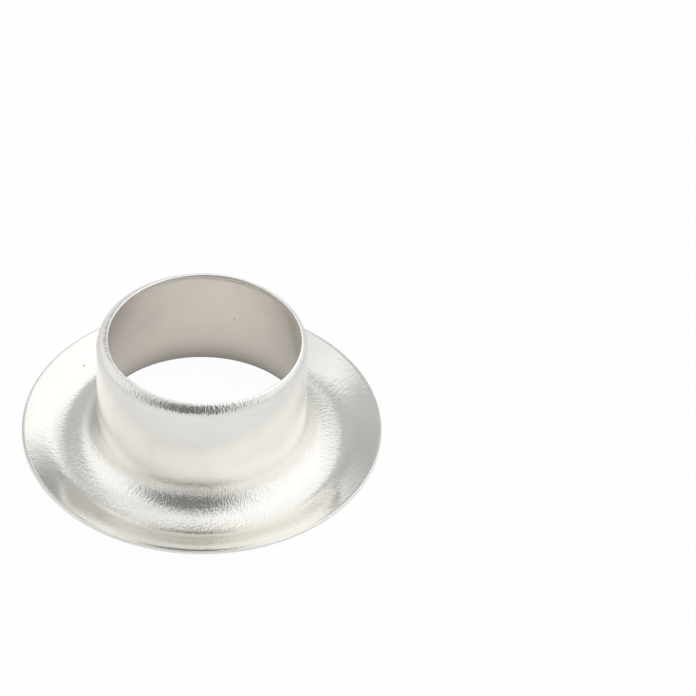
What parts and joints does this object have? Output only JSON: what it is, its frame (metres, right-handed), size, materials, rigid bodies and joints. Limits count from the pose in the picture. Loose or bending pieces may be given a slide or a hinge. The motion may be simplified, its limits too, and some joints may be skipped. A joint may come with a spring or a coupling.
{
  "type": "eyelet",
  "caption": "Drawn sheet-metal eyelet: a short open barrel with a turned-in mouth, rising from a wide, shallow dished flange.",
  "frame": {"origin": "on the barrel's axis, at the surface that the flange rests on", "axes": "+Z along the barrel, from the flange to the mouth; -Y towards the high side of the barrel's end, and the mouth is pierced off centre between +X and -Y"},
  "size_m": [0.025, 0.025, 0.0098],
  "materials": {
    "plated_sheet": "bright nickel plating over drawn sheet, satin, with fine draw marks at the bends"
  },
  "bodies": {
    "root": {"eyelet": "plated_sheet"}
  },
  "joints": []
}
